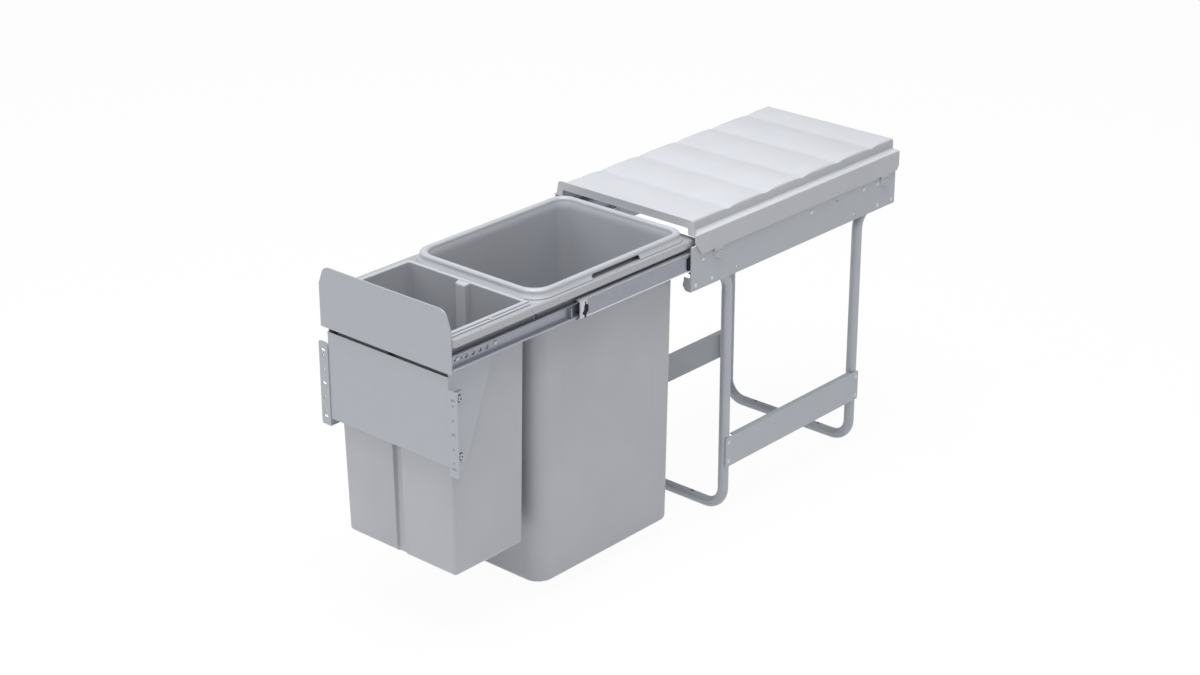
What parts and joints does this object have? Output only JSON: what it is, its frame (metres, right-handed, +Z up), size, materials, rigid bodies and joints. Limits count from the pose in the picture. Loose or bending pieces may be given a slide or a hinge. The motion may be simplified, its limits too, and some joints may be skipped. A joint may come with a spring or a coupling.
{
  "type": "pull-out waste bin frame",
  "caption": "Floor-mounted pull-out frame for a narrow kitchen cabinet, with lift-out bins on ball slides under a fixed waved lid and brackets for the cabinet door.",
  "frame": {"origin": "centre of the four floor screw holes, on the cabinet floor", "axes": "+Z up, +Y to the back of the cabinet, +X to the right seen from the front; the bins pull out along -Y and are shown pulled out"},
  "size_m": [0.2582, 0.9148, 0.4752],
  "materials": {
    "coated_steel": "satin silver-grey powder coat",
    "zinc_steel": "bright zinc plating",
    "fasteners": "zinc-plated bolts, nuts and carrier rivets",
    "ball_steel": "polished bearing steel",
    "lid_plastic": "fine-grained silver-grey moulded plastic",
    "bin_plastic": "smooth mid-grey moulded plastic",
    "black_plastic": "black moulded plastic",
    "cage_plastic": "natural moulded plastic"
  },
  "bodies": {
    "base": {"side_plate_left": "coated_steel", "side_plate_right": "coated_steel", "front_leg_tube": "coated_steel", "rear_leg_tube": "coated_steel", "brace_left": "coated_steel", "brace_right": "coated_steel", "leg_rivets": "coated_steel", "brace_rivets": "coated_steel", "slide_outer_left": "zinc_steel", "slide_outer_right": "zinc_steel", "slide_rivets": "coated_steel", "slide_bumpers": "black_plastic"},
    "lid": {"lid_cover": "lid_plastic"},
    "outer_cage_left": {"cage_outer_left": "cage_plastic", "balls_outer_left": "ball_steel"},
    "outer_cage_right": {"cage_outer_right": "cage_plastic", "balls_outer_right": "ball_steel"},
    "mid_left": {"slide_mid_left": "zinc_steel", "mid_catch_left": "black_plastic"},
    "mid_right": {"slide_mid_right": "zinc_steel", "mid_catch_right": "black_plastic"},
    "inner_cage_left": {"cage_inner_left": "cage_plastic", "balls_inner_left": "ball_steel"},
    "inner_cage_right": {"cage_inner_right": "cage_plastic", "balls_inner_right": "ball_steel"},
    "carriage": {"slide_inner_left": "zinc_steel", "slide_inner_right": "zinc_steel", "carrier_frame": "coated_steel", "carrier_rivets": "fasteners", "handle_panel": "coated_steel", "panel_nuts": "fasteners", "door_plate": "coated_steel", "bracket_bolts": "fasteners", "bracket_nuts": "fasteners"},
    "door_bracket_left": {"door_bracket_left": "coated_steel"},
    "door_bracket_right": {"door_bracket_right": "coated_steel"},
    "large_bin": {"large_bin": "bin_plastic"},
    "small_bin": {"small_bin": "bin_plastic"}
  },
  "joints": [
    {"name": "carriage_slide", "type": "slide", "parent": "base", "child": "carriage", "axis": [0, -1, 0], "range_m": [-0.44, 0]},
    {"name": "mid_slide_left", "type": "slide", "parent": "base", "child": "mid_left", "axis": [0, -1, 0], "range_m": [-0.22, 0]},
    {"name": "outer_cage_slide_left", "type": "slide", "parent": "base", "child": "outer_cage_left", "axis": [0, -1, 0], "range_m": [-0.11, 0]},
    {"name": "inner_cage_slide_left", "type": "slide", "parent": "base", "child": "inner_cage_left", "axis": [0, -1, 0], "range_m": [-0.33, 0]},
    {"name": "door_bracket_adjust_left", "type": "slide", "parent": "carriage", "child": "door_bracket_left", "axis": [0, 0, 1], "range_m": [-0.003, 0.003]},
    {"name": "mid_slide_right", "type": "slide", "parent": "base", "child": "mid_right", "axis": [0, -1, 0], "range_m": [-0.22, 0]},
    {"name": "outer_cage_slide_right", "type": "slide", "parent": "base", "child": "outer_cage_right", "axis": [0, -1, 0], "range_m": [-0.11, 0]},
    {"name": "inner_cage_slide_right", "type": "slide", "parent": "base", "child": "inner_cage_right", "axis": [0, -1, 0], "range_m": [-0.33, 0]},
    {"name": "door_bracket_adjust_right", "type": "slide", "parent": "carriage", "child": "door_bracket_right", "axis": [0, 0, 1], "range_m": [-0.003, 0.003]},
    {"name": "large_bin_lift", "type": "slide", "parent": "carriage", "child": "large_bin", "axis": [0, 0, 1], "range_m": [0, 0.43]},
    {"name": "small_bin_lift", "type": "slide", "parent": "carriage", "child": "small_bin", "axis": [0, 0, 1], "range_m": [0, 0.345]},
    {"name": "lid_lift", "type": "slide", "parent": "base", "child": "lid", "axis": [0, 0, 1], "range_m": [0, 0.06]}
  ],
  "couplings": [
    {"joint": "mid_slide_left", "follows": "carriage_slide", "ratio": 0.5},
    {"joint": "outer_cage_slide_left", "follows": "carriage_slide", "ratio": 0.25},
    {"joint": "inner_cage_slide_left", "follows": "carriage_slide", "ratio": 0.75},
    {"joint": "mid_slide_right", "follows": "carriage_slide", "ratio": 0.5},
    {"joint": "outer_cage_slide_right", "follows": "carriage_slide", "ratio": 0.25},
    {"joint": "inner_cage_slide_right", "follows": "carriage_slide", "ratio": 0.75}
  ]
}
